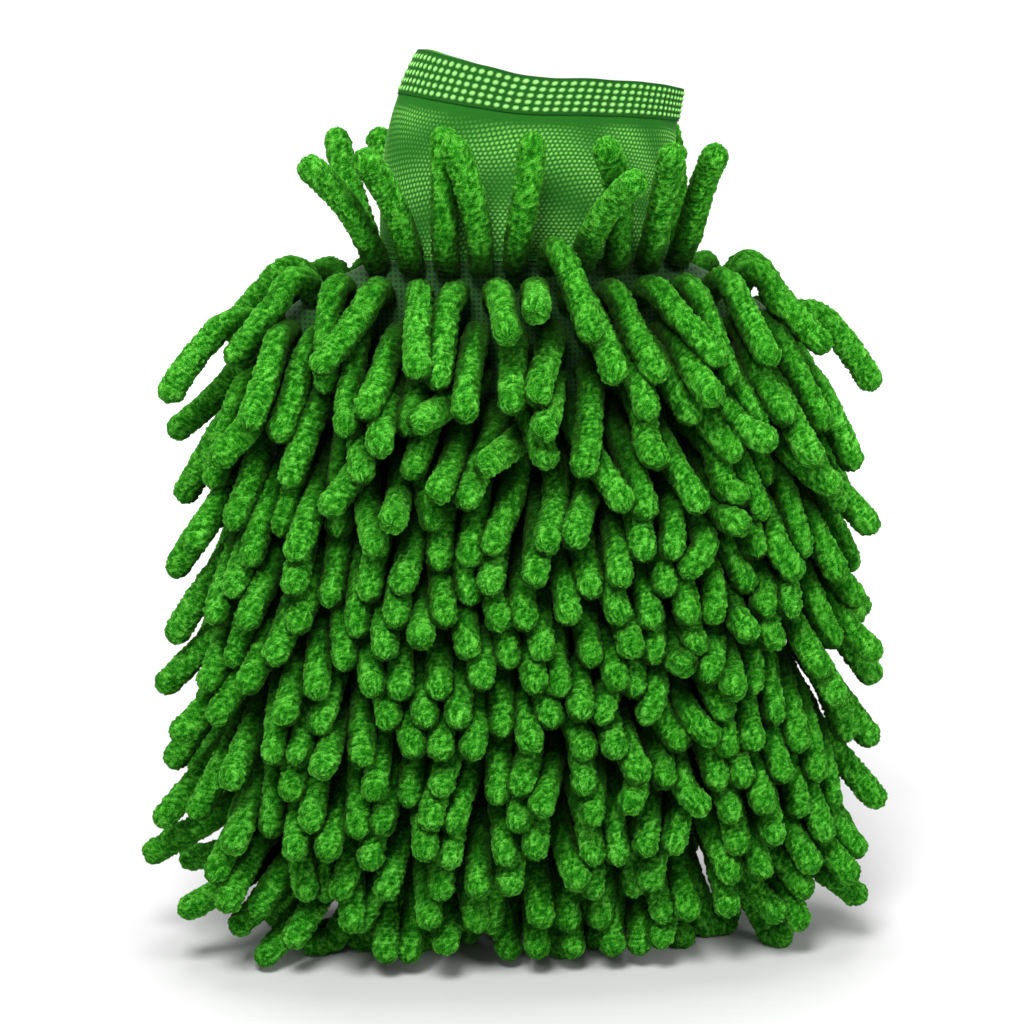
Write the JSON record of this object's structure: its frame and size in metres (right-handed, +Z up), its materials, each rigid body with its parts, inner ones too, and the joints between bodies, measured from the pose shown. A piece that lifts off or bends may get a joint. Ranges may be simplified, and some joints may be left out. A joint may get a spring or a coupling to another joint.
{
  "type": "wash mitt",
  "caption": "Chenille car wash mitt with noodle pile on both faces, a lined hand pocket and an elastic knitted cuff.",
  "frame": {"origin": "bottom centre of the bounding box, on the floor the mitt stands on", "axes": "+Z up towards the cuff mouth, -Y the front face, +X the right side as seen from the front"},
  "size_m": [0.2284, 0.1206, 0.2758],
  "materials": {
    "chenille": "bright green polyester chenille, soft and matt with light fuzzy ends",
    "backing": "green woven polyester tufting ground",
    "lining": "smooth green warp-knit polyester",
    "tape": "green woven binding tape",
    "thread": "green spun polyester sewing thread",
    "knit": "fine green rib knit with paler loops",
    "hem": "dark green knit with rows of pale raised loops",
    "elastic": "white covered elastic band",
    "label": "blank blue-green satin care label"
  },
  "bodies": {
    "bag": {"back_backing": "backing", "back_lining": "lining", "back_neck_fringe": "chenille", "back_row_01": "chenille", "back_row_02": "chenille", "back_row_03": "chenille", "back_row_04": "chenille", "back_row_05": "chenille", "back_row_06": "chenille", "back_row_07": "chenille", "back_row_08": "chenille", "back_row_09": "chenille", "back_row_10": "chenille", "back_row_11": "chenille", "back_row_12": "chenille", "back_row_13": "chenille", "back_row_14": "chenille", "back_row_15": "chenille", "back_row_16": "chenille", "back_row_17": "chenille", "back_row_threads": "thread", "bottom_noodles": "chenille", "front_backing": "backing", "front_lining": "lining", "front_neck_fringe": "chenille", "front_row_01": "chenille", "front_row_02": "chenille", "front_row_03": "chenille", "front_row_04": "chenille", "front_row_05": "chenille", "front_row_06": "chenille", "front_row_07": "chenille", "front_row_08": "chenille", "front_row_09": "chenille", "front_row_10": "chenille", "front_row_11": "chenille", "front_row_12": "chenille", "front_row_13": "chenille", "front_row_14": "chenille", "front_row_15": "chenille", "front_row_16": "chenille", "front_row_17": "chenille", "front_row_threads": "thread", "left_edge_noodles": "chenille", "neck_seam_tape": "tape", "right_edge_noodles": "chenille", "seam_stitches": "thread", "seam_tape": "tape"},
    "cuff": {"cuff_flex": "knit", "cuff_sleeve": "knit", "cuff_hem": "hem", "hem_elastic": "elastic", "cuff_side_seam": "knit", "care_label": "label"}
  },
  "joints": [
    {"name": "cuff_tilt", "type": "hinge", "parent": "bag", "child": "cuff", "pos_m": [0, 0, 0.224], "axis": [1, 0, 0], "range_deg": [-20, 20], "stiffness_Nm_per_rad": 0.02, "deforming": ["cuff_flex"]}
  ]
}
